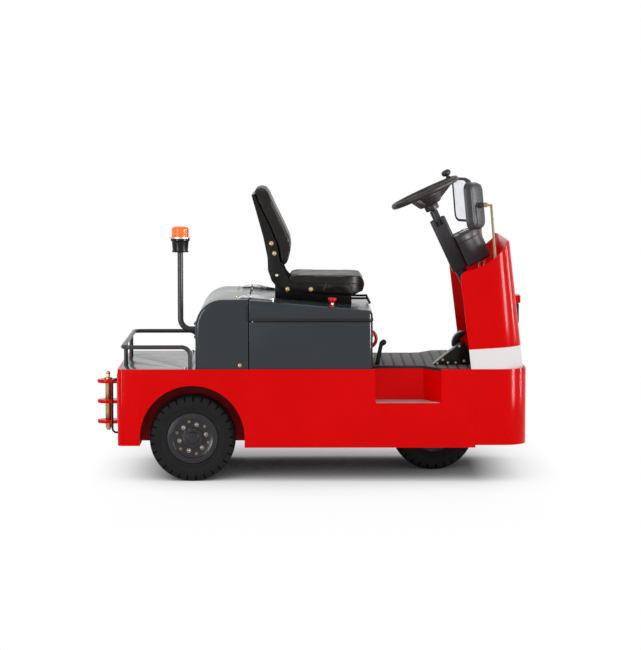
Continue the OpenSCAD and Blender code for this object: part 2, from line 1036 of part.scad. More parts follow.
module stop_button() {
    x = case_x1 - 194;
    color("red")
        translate([x, 50 - case_w, lid_top(x) + seat_gap])
            rotate([0, lid_slope, 0])
                rotate_extrude()
                    polygon(concat(
                        [[0, 0], [14, 0], [14, 4], [8, 5], [8, 18], [13, 20], [20, 32]],
                        arc(16, 38, 4, 0, 90),
                        [[0, 43]]
                    ));
}

module seat_base() {
    color("black")
        across(75 - seat_y, seat_y - 75)
            polygon([
                [seat_x + 119, lid_top(seat_x + 119) + seat_gap],
                [seat_x + 489, lid_top(seat_x + 489) + seat_gap],
                [seat_x + 489, cushion_z - 60],
                [seat_x + 119, cushion_z - 44]
            ]);
}

// a list of [x, z] points of the backrest, as a side view
function back_points(list) = [for (p = list) [seat_x + p[0], back_z + p[1]]];
// a list of [x, z] points of the seat's lower half, as a side view
function seat_points(list) = [for (p = list) [seat_x + p[0], cushion_z + p[1]]];

// outline of the backrest, seen from the front
module back_front(y) {
    polygon(concat(
        arc(y - 90, back_z - 90, 90, 0, 90),
        arc(90 - y, back_z - 90, 90, 90, 180),
        [[-y, back_z - 330]],
        arc(60 - y, back_z - 346, 60, 180, 270),
        arc(y - 60, back_z - 346, 60, 270, 360),
        [[y, back_z - 330]]
    ));
}

module seat_frame() {
    grab = 5;
    color("black") {
        both()
            across(seat_y, seat_y + 6)
                polygon(seat_points([
                    [86, 172],
                    [122, 172],
                    [133, 133],
                    [145, 57],
                    [173, -3],
                    [197, -31],
                    [258, -46],
                    [318, -50],
                    [318, -78],
                    [160, -80],
                    [132, -59],
                    [104, -27],
                    [86, 25],
                    [84, 89]
                ]));
        intersection() {
            across(-seat_y - eps, seat_y + eps)
                polygon(concat(
                    back_points([[84, -342], [64, -245], [32, -129], [7, -42], [20, -38]]),
                    back_points(shell_seam),
                    back_points([[118, -381]])
                ));
            rotate([90, 0, 90])
                translate([0, 0, seat_x])
                    linear_extrude(200)
                        back_front(seat_y + eps);
        }
        both() {
            bar([seat_x + 489.3, 100, cushion_z - 121], [seat_x + 566, 100, cushion_z - 121], grab);
            bar([seat_x + 566, 100, cushion_z - 121], [seat_x + 578, 100, cushion_z - 142], grab);
            translate([seat_x + 566, 100, cushion_z - 121])
                sphere(r = grab + 1);
        }
        cross_bar(seat_x + 578, -106, cushion_z - 142, grab + 1, 212);
    }
}

module seat_cushion() {
    color("dimgray")
        difference() {
            intersection() {
                across(-seat_y + seat_gap, seat_y - seat_gap)
                    polygon(seat_points([
                        [186, -58],
                        [180, -24],
                        [196, -6],
                        [230, -1],
                        [500, -4],
                        [534, -6],
                        [553, -26],
                        [559, -52],
                        [550, -86],
                        [490, -100],
                        [350, -92],
                        [230, -82]
                    ]));
                linear_extrude(2 * cushion_z)
                    polygon(concat(
                        [[seat_x, seat_y]],
                        arc(seat_x + 460, seat_y - 100, 100, 90, 10),
                        arc(seat_x + 460, 100 - seat_y, 100, -10, -90),
                        [[seat_x, -seat_y]]
                    ));
            }
            across(75 - seat_y - seat_gap, seat_y - 75 + seat_gap)
                polygon(seat_points([[119, -300], [489.3, -300], [489.3, -59.7], [119, -43.7]]));
        }
}

module seat_back() {
    n = len(shell_seam);
    color("dimgray")
        intersection() {
            across(-seat_y + seat_gap, seat_y - seat_gap)
                polygon(concat(
                    back_points([
                        [152, -392],
                        [176, -374],
                        [190, -325],
                        [195, -290],
                        [188, -250],
                        [160, -187],
                        [107, -77],
                        [86, -29],
                        [68, -5],
                        [45, 0],
                        [22, -9],
                        [12, -26],
                        [20.3, -37.7]
                    ]),
                    back_points([for (p = shell_seam) p + [0.3, 0]])
                ));
            rotate([90, 0, 90])
                translate([0, 0, seat_x])
                    linear_extrude(260)
                        back_front(seat_y);
        }
}

// a spoke of the steering wheel along the local x axis, from the hub's bowl to the rim
module spoke() {
    web = 18;
    intersection() {
        across(-spoke_w, spoke_w)
            polygon([[60, 0], [grip_r, -5], [grip_r, 5], [60, 14]]);
        translate([0, 0, -20])
            linear_extrude(dish)
                polygon([
                    [60, -spoke_w * 0.5],
                    [grip_r * 0.75, -spoke_w * 0.36],
                    [grip_r, -spoke_w / 2],
                    [grip_r, spoke_w / 2],
                    [grip_r * 0.75, spoke_w * 0.36],
                    [60, spoke_w * 0.5]
                ]);
    }
    across(-web / 2, web / 2)
        polygon([[40, 10], [grip_r, 0], [grip_r * 0.88, 12], [45, dish - 2], [40, dish - 2]]);
}

// a mushroom knob for turning the wheel with one hand, standing on the rim
module spinner() {
    rotate([180, 0, 0])
        rotate_extrude()
            polygon(concat(
                [[0, 0], [14, 0], [14, 15], [9, 19], [9, 24]],
                arc(9, 39, 15, -90, 90),
                [[0, 54]]
            ));
}

module steering_wheel() {
    color("black")
        at_column() {
            rotate_extrude()
                translate([grip_r, 0])
                    circle(r = grip_d / 2);
            rotate_extrude()
                polygon([
                    [0, 2],
                    [30, 2],
                    [34, 8],
                    [74, 4],
                    [80, 8],
                    [80, 24],
                    [58, dish - 6],
                    [50, dish],
                    [34, dish],
                    [34, dish + 24],
                    [30, dish + 28],
                    [shaft_r, dish + 28],
                    [shaft_r, column_top + 29],
                    [0, column_top + 29]
                ]);
            for (a = [0, 120, 240])
                rotate([0, 0, a])
                    spoke();
            rotate([0, 0, 33])
                translate([grip_r, 0, 0])
                    spinner();
        }
}

module steer_fork() {
    color("dimgray")
        translate([front_x, 0, 0]) {
            y0 = tyre_w / 2 + 15;
            both()
                across(y0, y0 + 16) {
                    polygon([[-60, crown_z + 25], [60, crown_z + 25], [38, axle_z], [-38, axle_z]]);
                    translate([0, axle_z])
                        circle(r = 45);
                }
            translate([-60, -y0 - 8, crown_z])
                cube([120, 2 * y0 + 16, 25]);
            translate([0, 0, crown_z + 10])
                cylinder(r = 32, h = floor_z - floor_t - crown_z - 20);
            cross_bar(0, -y0 - 8, axle_z, 17, 2 * y0 + 16);
        }
}

// a tyre about the local z axis
module tyre() {
    r = tyre_d / 2;
    w = tyre_w / 2;
    f = rim_w / 2 - 5;
    rotate_extrude()
        polygon([
            [bead_r, -f],
            [flange_d / 2, -f],
            [flange_d / 2 + 4, 4 - w],
            [r - 55, -w],
            [r - 20, -w],
            [r - 5, 7 - w],
            [r, 17 - w],
            [r, w - 17],
            [r - 5, w - 7],
            [r - 20, w],
            [r - 55, w],
            [flange_d / 2 + 4, w - 4],
            [flange_d / 2, f],
            [bead_r, f]
        ]);
}

// a rim and hub about the local z axis, its outside towards +z
module rim(bore, hub_in, hub_out, cap) {
    f = rim_w / 2;
    rotate_extrude()
        polygon([
            [bore, hub_in],
            [46, hub_in],
            [46, 4],
            [bead_r - 6, 12],
            [bead_r - 6, -f],
            [flange_d / 2, -f],
            [flange_d / 2, 5 - f],
            [bead_r, 5 - f],
            [bead_r, f - 5],
            [flange_d / 2, f - 5],
            [flange_d / 2, f],
            [bead_r - 6, f],
            [bead_r - 6, 20],
            [48, 14],
            [48, hub_out],
            [bore, hub_out]
        ]);
    if (cap > 0)
        translate([0, 0, hub_out - eps]) {
            difference() {
                cylinder(r = 48, h = 4);
                for (a = [0:60:300])
                    rotate([0, 0, a])
                        translate([55, 0, -1])
                            cylinder(r = 12, h = 6);
            }
            cylinder(r1 = 31, r2 = 27, h = cap);
        }
}

module front_tyre() {
    color("black")
        translate([front_x, 0, axle_z])
            rotate([90, 0, 0])
                tyre();
}

module front_rim() {
    color("silver")
        translate([front_x, 0, axle_z])
            rotate([90, 0, 0])
                rim(17.5, -tyre_w / 2 - 7, tyre_w / 2 + 7, 0);
}

module rear_tyre_right() {
    color("black")
        translate([rear_x, -wheel_y, axle_z])
            rotate([90, 0, 0])
                tyre();
}

module rear_rim_right() {
    color("silver")
        translate([rear_x, -wheel_y, axle_z])
            rotate([90, 0, 0])
                rim(20.5, frame_y + 24 - wheel_y, 26, 14);
}

module rear_tyre_left() {
    color("black")
        translate([rear_x, wheel_y, axle_z])
            rotate([-90, 0, 0])
                tyre();
}

module rear_rim_left() {
    color("silver")
        translate([rear_x, wheel_y, axle_z])
            rotate([-90, 0, 0])
                rim(20.5, frame_y + 24 - wheel_y, 26, 14);
}

module tow_pin() {
    top = hitch_top - hitch_z;
    color("goldenrod")
        translate([pin_x, 0, hitch_z])
            rotate_extrude()
                polygon(concat(
                    [[0, -37], [pin_r - 8, -37], [pin_r, -22], [pin_r, top + 0.3]],
                    [for (p = [[5, 0.3], [5, 7], [-2, 10], [-7, 12], [-7, 24]]) [pin_r, top] + p],
                    arc(0, top + 30, 10, -37, 90)
                ));
}

side_plate_right();
side_plate_left();
nose_plate();
tail_plate();
wheel_arches();
frame_rails();
bulkhead();
under_plate();
floor_plate();
floor_mat();
steer_head();
front_cowl();
rear_deck();
deck_rail();
drive_cover();
battery_case();
battery();
rear_axle();
drive_motor();
hitch();
tail_guards();
headlamps();
lamp_visors();
mirror_arms();
mirrors();
steering_column();
dash_pod();
pedals();
parking_lever();
battery_plug();
beacon_pole();
beacon_base();
beacon_lens();
hinge_bases();
battery_lid();
hinge_leaves();
stop_button();
seat_base();
seat_frame();
seat_cushion();
seat_back();
steering_wheel();
steer_fork();
front_tyre();
front_rim();
rear_tyre_right();
rear_rim_right();
rear_tyre_left();
rear_rim_left();
tow_pin();
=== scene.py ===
import math

import bmesh
import bpy
import numpy as np
from mathutils import Matrix, Vector
from mathutils.bvhtree import BVHTree


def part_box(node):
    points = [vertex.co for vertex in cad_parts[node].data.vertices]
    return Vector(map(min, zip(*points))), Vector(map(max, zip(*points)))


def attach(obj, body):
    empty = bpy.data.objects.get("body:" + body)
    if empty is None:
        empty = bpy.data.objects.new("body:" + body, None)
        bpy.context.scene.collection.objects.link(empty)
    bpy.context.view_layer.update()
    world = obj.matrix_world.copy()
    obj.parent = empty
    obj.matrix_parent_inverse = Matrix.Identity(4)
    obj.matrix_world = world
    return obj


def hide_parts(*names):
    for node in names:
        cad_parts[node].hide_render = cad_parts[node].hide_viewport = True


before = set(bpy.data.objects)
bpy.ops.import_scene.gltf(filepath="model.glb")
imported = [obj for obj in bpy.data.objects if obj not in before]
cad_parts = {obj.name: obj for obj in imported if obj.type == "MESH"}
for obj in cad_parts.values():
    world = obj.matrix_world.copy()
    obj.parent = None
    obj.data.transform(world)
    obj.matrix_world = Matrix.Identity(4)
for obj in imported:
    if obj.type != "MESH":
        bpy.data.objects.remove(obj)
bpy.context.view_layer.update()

# Side plates, nose and tail: bent steel plate, welded into one open box.
# The whole box is sprayed with a thick red gloss enamel that dries with a faint orange peel.


def surface_group(name, inputs, outputs):
    """An empty shader group with these sockets, and its two end nodes."""
    group = bpy.data.node_groups.new(name, "ShaderNodeTree")
    for label, kind, value in inputs:
        group.interface.new_socket(label, in_out="INPUT", socket_type=kind).default_value = value
    for label, kind in outputs:
        group.interface.new_socket(label, in_out="OUTPUT", socket_type=kind)
    return group, group.nodes.new("NodeGroupInput"), group.nodes.new("NodeGroupOutput")


def noise(group, scale, detail=3.0):
    """A noise over the piece itself, in cycles per metre."""
    place = group.nodes.new("ShaderNodeTexCoord")
    texture = group.nodes.new("ShaderNodeTexNoise")
    texture.inputs["Scale"].default_value = scale
    texture.inputs["Detail"].default_value = detail
    group.links.new(place.outputs["Object"], texture.inputs["Vector"])
    return texture.outputs["Fac"]


def spread(group, source, low, high, out_low, out_high):
    """Stretches a value from low..high to out_low..out_high."""
    node = group.nodes.new("ShaderNodeMapRange")
    for label, value in zip(("From Min", "From Max", "To Min", "To Max"), (low, high, out_low, out_high)):
        node.inputs[label].default_value = value
    group.links.new(source, node.inputs["Value"])
    return node.outputs["Result"]


def arithmetic(group, operation, first, second):
    """A Math node on two sockets or numbers."""
    node = group.nodes.new("ShaderNodeMath")
    node.operation = operation
    for socket, value in zip(node.inputs, (first, second)):
        if isinstance(value, (int, float)):
            socket.default_value = value
        else:
            group.links.new(value, socket)
    return node.outputs[0]


def tint(group, color, shade):
    """A colour multiplied by a value."""
    node = group.nodes.new("ShaderNodeVectorMath")
    node.operation = "SCALE"
    group.links.new(color, node.inputs[0])
    group.links.new(shade, node.inputs["Scale"])
    return node.outputs[0]


SKIN_INPUTS = [("Color", "NodeSocketColor", (0.5, 0.5, 0.5, 1)), ("Roughness", "NodeSocketFloat", 0.4)]
SKIN_OUTPUTS = [
    ("Color", "NodeSocketColor"), ("Roughness", "NodeSocketFloat"), ("Height", "NodeSocketFloat"),
]


def surface(name, grain, mottle, shade, rough):
    """A surface whose shade and roughness drift slowly and whose relief is a fine grain."""
    group, start, end = surface_group(name, SKIN_INPUTS, SKIN_OUTPUTS)
    drift = noise(group, mottle)
    fine = noise(group, grain, 2.0)
    shading = spread(group, drift, 0.3, 0.7, 1 - shade, 1 + shade)
    group.links.new(tint(group, start.outputs["Color"], shading), end.inputs["Color"])
    change = spread(group, drift, 0.3, 0.7, -rough, rough)
    group.links.new(arithmetic(group, "ADD", start.outputs["Roughness"], change), end.inputs["Roughness"])
    group.links.new(fine, end.inputs["Height"])
    return group


enamel = surface("enamel", grain=260, mottle=5, shade=0.03, rough=0.03)


def finish(name, skin, color, roughness, relief, specular=0.5, shader=None):
    """A material of one surface, with its own colour, roughness, relief in metres and shader values."""
    material = bpy.data.materials.new(name)
    material.use_nodes = True
    tree = material.node_tree
    bsdf = tree.nodes["Principled BSDF"]
    face = tree.nodes.new("ShaderNodeGroup")
    face.name = "skin"
    face.node_tree = skin
    face.inputs["Color"].default_value = (*color, 1)
    face.inputs["Roughness"].default_value = roughness
    bump = tree.nodes.new("ShaderNodeBump")
    bump.inputs["Distance"].default_value = relief
    tree.links.new(face.outputs["Color"], bsdf.inputs["Base Color"])
    tree.links.new(face.outputs["Roughness"], bsdf.inputs["Roughness"])
    tree.links.new(face.outputs["Height"], bump.inputs["Height"])
    tree.links.new(bump.outputs["Normal"], bsdf.inputs["Normal"])
    bsdf.inputs["Specular IOR Level"].default_value = specular
    for label, value in (shader or {}).items():
        bsdf.inputs[label].default_value = value
    return material


def soft_shading():
    """A modifier's node tree that smooths all faces and keeps edges sharper than 30 degrees."""
    tree = bpy.data.node_groups.new("soft_shading", "GeometryNodeTree")
    tree.interface.new_socket("Geometry", in_out="INPUT", socket_type="NodeSocketGeometry")
    tree.interface.new_socket("Geometry", in_out="OUTPUT", socket_type="NodeSocketGeometry")
    start = tree.nodes.new("NodeGroupInput")
    end = tree.nodes.new("NodeGroupOutput")
    normal = tree.nodes.new("GeometryNodeSetMeshNormal")
    normal.mode = "SHARPNESS"
    angle = tree.nodes.new("GeometryNodeInputMeshEdgeAngle")
    sharp = tree.nodes.new("FunctionNodeCompare")
    sharp.operation = "GREATER_THAN"
    sharp.inputs[1].default_value = math.radians(30)
    tree.links.new(start.outputs[0], normal.inputs["Mesh"])
    tree.links.new(angle.outputs["Unsigned Angle"], sharp.inputs[0])
    tree.links.new(sharp.outputs["Result"], normal.inputs["Edge Sharpness"])
    tree.links.new(normal.outputs["Mesh"], end.inputs[0])
    return tree


smooth_faces = soft_shading()


def soften(obj, edge):
    """Rounds an object's edges a little and shades it smooth."""
    if edge:
        bevel = obj.modifiers.new("edge", "BEVEL")
        bevel.width = edge
        bevel.segments = 2
        bevel.limit_method = "ANGLE"
        bevel.angle_limit = math.radians(35)
    obj.modifiers.new("shading", "NODES").node_group = smooth_faces


def dress(material, *names, edge=0.0015):
    """Gives CAD nodes a finish and softens their edges."""
    for name in names:
        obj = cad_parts[name]
        obj.data.materials.clear()
        obj.data.materials.append(material)
        obj.modifiers.new("weld", "WELD").merge_threshold = 1e-5
        flat = obj.modifiers.new("flat", "DECIMATE")
        flat.decimate_type = "DISSOLVE"
        flat.angle_limit = math.radians(0.5)
        soften(obj, edge)


GLOSS, DULL = 0.045, 0.12
RED = (0.68, 0.0004, 0.001)
red_enamel = finish("red_enamel", enamel, RED, 0.18, 0.00005, GLOSS)
dress(red_enamel, "side_plate_right", "side_plate_left", "nose_plate", "tail_plate", edge=0.0008)

# Step treads: a thin aluminium plate glued to the floor of each step recess.
# Its face is blasted, so that a wet shoe holds on it.


def piece(name, bm, material, body, edge=0.0):
    """Makes a finished object of a bmesh and puts it on its body."""
    bmesh.ops.recalc_face_normals(bm, faces=bm.faces)
    mesh = bpy.data.meshes.new(name)
    bm.to_mesh(mesh)
    bm.free()
    mesh.materials.append(material)
    obj = bpy.data.objects.new(name, mesh)
    bpy.context.scene.collection.objects.link(obj)
    soften(obj, edge)
    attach(obj, body)
    return obj


def slab(bm, outline, low, high, stand=Matrix()):
    """A plate of this outline between two heights, in the place that the matrix gives."""
    base = [bm.verts.new((x, y, low)) for x, y in outline]
    made = bmesh.ops.extrude_face_region(bm, geom=[bm.faces.new(base)])
    raised = [item for item in made["geom"] if isinstance(item, bmesh.types.BMVert)]
    for vert in raised:
        vert.co.z = high
    for vert in base + raised:
        vert.co = stand @ vert.co


def rectangle(x0, x1, y0, y1):
    """The corners of a rectangle in plan."""
    return [(x0, y0), (x1, y0), (x1, y1), (x0, y1)]


blasted = surface("blasted", grain=1400, mottle=20, shade=0.08, rough=0.05)
tread_grey = finish("tread_grey", blasted, (0.36, 0.33, 0.32), 0.5, 0.0003, shader={"Metallic": 0.4})
STEP_X0, STEP_X1, STEP_RAMP = 0.3145, 0.5475, 0.082
STEP_IN, STEP_OUT, STEP_Z = 0.340, 0.480, 0.378
bm = bmesh.new()
for side in (-1, 1):
    tread = [
        (STEP_X0 + 0.004, STEP_IN + 0.005), (STEP_X1 - 0.003, STEP_IN + 0.005),
        (STEP_X1 + STEP_RAMP - 0.009, STEP_OUT - 0.004), (STEP_X0 + 0.004, STEP_OUT - 0.004),
    ]
    slab(bm, [(x, side * y) for x, y in tread], STEP_Z, STEP_Z + 0.0015)
piece("step_treads", bm, tread_grey, "chassis")

# Frame, arches, underside and steering head: plain plate, painted before the box is closed.
# The same red, thinner and duller, since it is never polished. Its colour is also much darker than the box's
# red: painted shade, for parts that sit under and inside the box.
# A short apron welded to the rail closes each arch in front of the wheel and behind it.
shade_darkened_red = finish("shade_darkened_red", enamel, (0.26, 0.001, 0.002), 0.5, 0.0002, DULL)
dress(shade_darkened_red, "wheel_arches", "frame_rails", "bulkhead", "under_plate", "steer_head")
rail_low, rail_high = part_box("frame_rails")
AXLE_X, APRON_FOOT = -0.5525, 0.178
bm = bmesh.new()
for side in (-1, 1):
    outer, inner = side * (rail_high.y - 0.003), side * (rail_high.y - 0.006)
    for near, far in ((-0.262, -0.165), (0.165, 0.262)):
        apron = rectangle(AXLE_X + near, AXLE_X + far, outer, inner)
        slab(bm, apron, APRON_FOOT, rail_low.z + 0.004)
piece("arch_aprons", bm, shade_darkened_red, "chassis")

# Rear axle, drive motor, steering fork and battery: castings and a steel tray.
# Cast faces keep the grain of the sand, under one coat of dark paint.
casting = surface("casting", grain=700, mottle=12, shade=0.12, rough=0.06)
cast_iron = finish("cast_iron", casting, (0.045, 0.046, 0.05), 0.6, 0.0004, DULL)
tray_black = finish("tray_black", enamel, (0.02, 0.02, 0.022), 0.5, 0.0002, DULL)
dress(cast_iron, "rear_axle", "drive_motor", "steer_fork")
dress(tray_black, "battery")

# Drive cover, battery case, lid, deck and rail: pressed sheet and bent tube.
# Slate grey gloss enamel, which mirrors the bright studio on every flat top.
SLATE = (0.029, 0.035, 0.040)
slate_enamel = finish("slate_enamel", enamel, SLATE, 0.2, 0.00005, specular=0.2)
dress(slate_enamel, "drive_cover", "battery_case", "battery_lid", "rear_deck", edge=0.001)
tube_grey = finish("tube_grey", enamel, (0.042, 0.042, 0.046), 0.3, 0.00005, specular=0.2)
dress(tube_grey, "deck_rail", "beacon_pole", edge=0)

# Tyres: solid industrial rubber, pressed on 8 inch rims.
# The section is moulded with two grooves, and notches all round leave the lugs on both shoulders.
rubber_skin = surface("rubber_skin", grain=1500, mottle=25, shade=0.15, rough=0.05)
tyre_rubber = finish("tyre_rubber", rubber_skin, (0.012, 0.0118, 0.0118), 0.6, 0.0003, specular=0.06)
LUGS, STEPS_PER_LUG = 29, 5
SHOULDER, LUG_LENGTH, NOTCH = 0.0165, 0.026, 0.011


def revolve(bm, points, middle, axis, steps):
    """A closed section through these points, turned once round an axis."""
    verts = [bm.verts.new(point) for point in points]
    section = verts + [bm.edges.new(pair) for pair in zip(verts, verts[1:] + verts[:1])]
    bmesh.ops.spin(
        bm, geom=section, cent=middle, axis=axis, angle=2 * math.pi, steps=steps, use_merge=True,
    )


def tread_tyre(name, node, body):
    """One tyre with its grooves and shoulder notches, in the place of the plain one."""
    low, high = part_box(node)
    middle = (low + high) / 2
    r = (high.z - low.z) / 2
    w = (high.y - low.y) / 2
    half = [
        (w - 0.010, r - 0.1035), (w - 0.010, r - 0.085), (w - 0.004, r - 0.081), (w - 0.002, r - 0.070),
        (w - 0.0035, r - 0.066), (w - 0.001, r - 0.060), (w, r - 0.045), (w, r - 0.028),
        (w - 0.0008, r - 0.019), (w - 0.004, r - 0.0095), (w - 0.009, r - 0.0045), (w - 0.017, r - 0.0012),
        (0.0175, r), (0.0165, r - 0.008), (0.0115, r - 0.008), (0.0105, r),
    ]
    section = half + [(-y, z) for y, z in reversed(half)]
    bm = bmesh.new()
    points = [(middle.x, middle.y + y, middle.z + z) for y, z in section]
    revolve(bm, points, middle, (0, 1, 0), LUGS * STEPS_PER_LUG)
    notches = []
    for face in bm.faces:
        place = face.calc_center_median() - middle
        reach = math.hypot(place.x, place.z)
        if abs(place.y) < w - SHOULDER or reach < r - LUG_LENGTH:
            continue
        turn = math.atan2(place.z, place.x) / (2 * math.pi) * LUGS + (0.5 if place.y > 0 else 0)
        if turn % 1 < 1 / STEPS_PER_LUG:
            notches.append(face)
    bmesh.ops.inset_region(bm, faces=notches, thickness=0.0006, depth=-NOTCH, use_even_offset=True)
    tyre = piece(name, bm, tyre_rubber, body)
    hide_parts(node)


tread_tyre("tyre_front", "front_tyre", "front_wheel")
tread_tyre("tyre_right", "rear_tyre_right", "rear_wheel_right")
tread_tyre("tyre_left", "rear_tyre_left", "rear_wheel_left")

# Rims: split steel discs in dark paint, with domed wheel nuts and plated clamping bolts.
# Six nuts hold the wheel to its hub, and six bolts between them hold the two halves together.
rim_paint = finish("rim_paint", enamel, (0.016, 0.015, 0.020), 0.25, 0.00008, specular=0.3)
dress(rim_paint, "front_rim", "rear_rim_right", "rear_rim_left", edge=0.0012)
plate_skin = surface("plate_skin", grain=900, mottle=120, shade=0.18, rough=0.08)
bright_zinc = finish("bright_zinc", plate_skin, (0.46, 0.45, 0.43), 0.34, 0.00006, shader={"Metallic": 1.0})
yellow_zinc = finish("yellow_zinc", plate_skin, (0.36, 0.28, 0.135), 0.34, 0.00006, shader={"Metallic": 1.0})
nut_steel = finish("nut_steel", plate_skin, (0.24, 0.22, 0.20), 0.34, 0.00006, shader={"Metallic": 1.0})
bolt_bronze = finish("bolt_bronze", plate_skin, (0.17, 0.125, 0.05), 0.4, 0.00006, shader={"Metallic": 1.0})


def facing(place, axis):
    """A matrix that stands a shape at a place with its own z along the axis."""
    turn = Vector((0, 0, 1)).rotation_difference(Vector(axis))
    return Matrix.Translation(place) @ turn.to_matrix().to_4x4()


def bolt_head(bm, place, axis, radius, dome=False):
    """A hexagon head on a round washer, or a domed nut."""
    stand = facing(place, axis)
    bmesh.ops.create_cone(
        bm, cap_ends=True, segments=20, radius1=radius * 1.45, radius2=radius * 1.4, depth=radius * 0.24,
        matrix=stand @ Matrix.Translation((0, 0, radius * 0.12)),
    )
    made = bmesh.ops.create_cone(
        bm, cap_ends=True, segments=6, radius1=radius, radius2=radius, depth=radius * 0.8,
        matrix=stand @ Matrix.Translation((0, 0, radius * 0.6)),
    )
    edges = {edge for vert in made["verts"] for edge in vert.link_edges}
    bmesh.ops.bevel(
        bm, geom=list(edges), offset=radius * 0.1, segments=2, affect="EDGES", profile=0.5, material=-1,
    )
    if dome:
        bmesh.ops.create_uvsphere(
            bm, u_segments=16, v_segments=8, radius=radius * 0.82,
            matrix=stand @ Matrix.Translation((0, 0, radius * 0.95)),
        )


def bolts(name, material, body, places, radius, dome=False):
    """A set of like bolts on one body, from (place, axis) pairs."""
    bm = bmesh.new()
    for place, axis in places:
        bolt_head(bm, Vector(place), axis, radius, dome)
    return piece(name, bm, material, body)


def ring_of(middle, radius, out, start, side):
    """Six places on a circle round a wheel's axle, each facing outwards."""
    found = []
    for i in range(6):
        angle = math.radians(start + 60 * i)
        x, z = middle.x + radius * math.cos(angle), middle.z + radius * math.sin(angle)
        found.append(((x, middle.y + side * out, z), (0, side, 0)))
    return found


for side, label in ((-1, "right"), (1, "left")):
    low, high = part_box(f"rear_tyre_{label}")
    hub = (low + high) / 2
    wheel = f"rear_wheel_{label}"
    nut_ring = ring_of(hub, 0.065, 0.0158, 13, side)
    bolts(f"wheel_nuts_{label}", nut_steel, wheel, nut_ring, 0.0075, True)
    bolt_ring = ring_of(hub, 0.079, 0.0175, 43, side)
    bolts(f"rim_bolts_{label}", bolt_bronze, wheel, bolt_ring, 0.0055)

# Floor: a painted plate under a loose rubber mat.
# The mat is moulded with broad flat ribs across it, which stop at the two steps.
dress(slate_enamel, "floor_plate")
mat_rubber = finish("mat_rubber", rubber_skin, (0.115, 0.117, 0.12), 0.55, 0.0003, DULL)
mat_low, mat_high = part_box("floor_mat")


def two_tone_and_shade(material, axis, limit, below, middle=None):
    """Another colour under a limit along an axis, kept to faces turned away from a middle place. It gives
    the cowl its white band, and the mat its painted shade.
    """
    tree = material.node_tree
    place = tree.nodes.new("ShaderNodeTexCoord")
    part = tree.nodes.new("ShaderNodeVectorMath")
    part.operation = "DOT_PRODUCT"
    part.inputs[1].default_value = axis
    tree.links.new(place.outputs["Object"], part.inputs[0])
    above = arithmetic(tree, "GREATER_THAN", part.outputs["Value"], limit)
    if middle:
        reach = tree.nodes.new("ShaderNodeVectorMath")
        reach.operation = "SUBTRACT"
        reach.inputs[1].default_value = middle
        tree.links.new(place.outputs["Object"], reach.inputs[0])
        outward = tree.nodes.new("ShaderNodeVectorMath")
        outward.operation = "DOT_PRODUCT"
        tree.links.new(reach.outputs["Vector"], outward.inputs[0])
        tree.links.new(place.outputs["Normal"], outward.inputs[1])
        inside = arithmetic(tree, "LESS_THAN", outward.outputs["Value"], 0.0)
        above = arithmetic(tree, "MAXIMUM", above, inside)
    blend = tree.nodes.new("ShaderNodeMix")
    blend.data_type = "RGBA"
    blend.inputs["A"].default_value = (*below, 1)
    tree.links.new(above, blend.inputs["Factor"])
    tree.links.new(tree.nodes["skin"].outputs["Color"], blend.inputs["B"])
    tree.links.new(blend.outputs["Result"], tree.nodes["Principled BSDF"].inputs["Base Color"])


# The mat's sides and the lower part of each rib, below the mat's top, are near black: painted shade on the
# sides and in the grooves between the ribs.
two_tone_and_shade(mat_rubber, (0, 0, 1), mat_high.z + 0.0008, (0.022, 0.022, 0.022))
dress(mat_rubber, "floor_mat", edge=0.001)
RIB_PITCH, RIB_GAP, RIB_HEIGHT = 0.05, 0.010, 0.0016
bm = bmesh.new()
x = mat_low.x + 0.012
while x + RIB_PITCH < mat_high.x:
    rib = Matrix.Translation((x + (RIB_PITCH - RIB_GAP) / 2, 0, mat_high.z))
    size = Matrix.Diagonal((RIB_PITCH - RIB_GAP, 2 * mat_high.y - 0.012, 2 * RIB_HEIGHT, 1))
    before = len(bm.verts)
    bmesh.ops.create_cube(bm, size=1.0, matrix=rib @ size)
    bm.verts.ensure_lookup_table()
    for vert in bm.verts[before:]:
        ramp = min(max((vert.co.x - STEP_X1) / STEP_RAMP, 0), 1)
        reach = STEP_IN - 0.012 + (STEP_OUT - STEP_IN) * ramp
        vert.co.y = math.copysign(min(abs(vert.co.y), reach), vert.co.y)
    x += RIB_PITCH
piece("mat_ribs", bm, mat_rubber, "chassis", edge=0.0008)

# Toe pan: a dark tray under the front edge of the floor, which closes the nose below the driver's feet.
# Folded sheet in near black: painted shade that stands for the dark inside the nose.
PAN_REAR, PAN_FRONT, PAN_HALF, PAN_CORNER, PAN_Z = 0.865, 1.018, 0.455, 0.10, 0.510


def quarter(x, y, r, start, steps):
    """The points of a quarter circle about a middle, from a start angle in degrees."""
    turn = [math.radians(start + 90 * i / steps) for i in range(steps + 1)]
    return [(x + r * math.cos(a), y + r * math.sin(a)) for a in turn]


outline = [(PAN_REAR, -PAN_HALF)]
outline += quarter(PAN_FRONT - PAN_CORNER, PAN_CORNER - PAN_HALF, PAN_CORNER, -90, 10)
outline += quarter(PAN_FRONT - PAN_CORNER, PAN_HALF - PAN_CORNER, PAN_CORNER, 0, 10)
outline += [(PAN_REAR, PAN_HALF)]
bm = bmesh.new()
slab(bm, outline, PAN_Z, PAN_Z + 0.003)
piece("toe_pan", bm, tray_black, "chassis")

